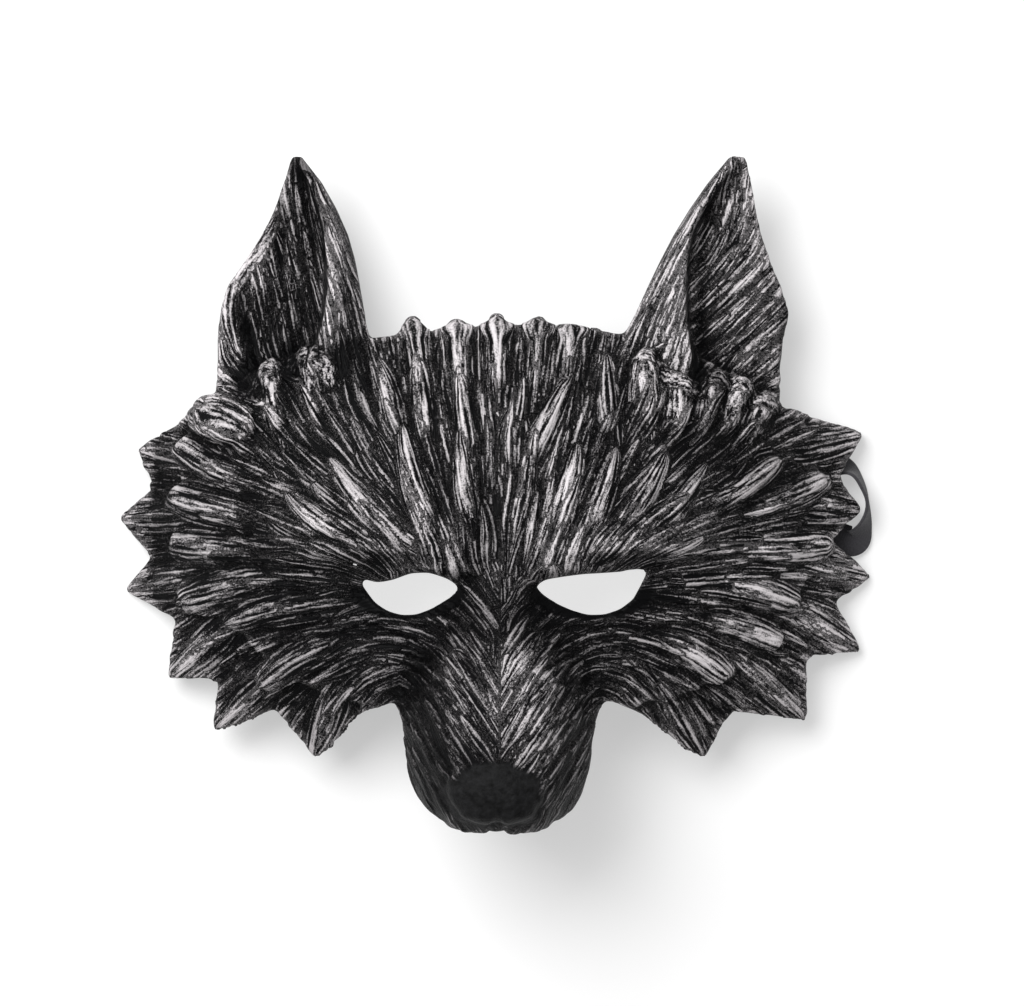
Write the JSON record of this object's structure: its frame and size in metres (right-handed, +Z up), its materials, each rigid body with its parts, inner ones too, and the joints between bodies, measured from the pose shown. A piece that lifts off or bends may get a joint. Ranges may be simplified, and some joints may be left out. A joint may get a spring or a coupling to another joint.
{
  "type": "wolf half mask",
  "caption": "Moulded foam half mask of a snarling wolf, with pricked ears, brushed fur locks, a spiked rim, open eyes and an elastic band to hold it on the face.",
  "frame": {"origin": "middle of the bounding box on the surface that the mask lies on", "axes": "+X to the viewer's right, +Y towards the ears, +Z up out of the face"},
  "size_m": [0.2632, 0.2324, 0.106],
  "materials": {
    "foam": "black moulded polyurethane foam, dry-brushed with silver",
    "elastic": "woven elastic",
    "rivet": "smooth"
  },
  "bodies": {
    "root": {"mask_shell": "foam", "elastic_strap": "elastic", "strap_rivet_left": "rivet", "strap_rivet_right": "rivet"}
  },
  "joints": []
}
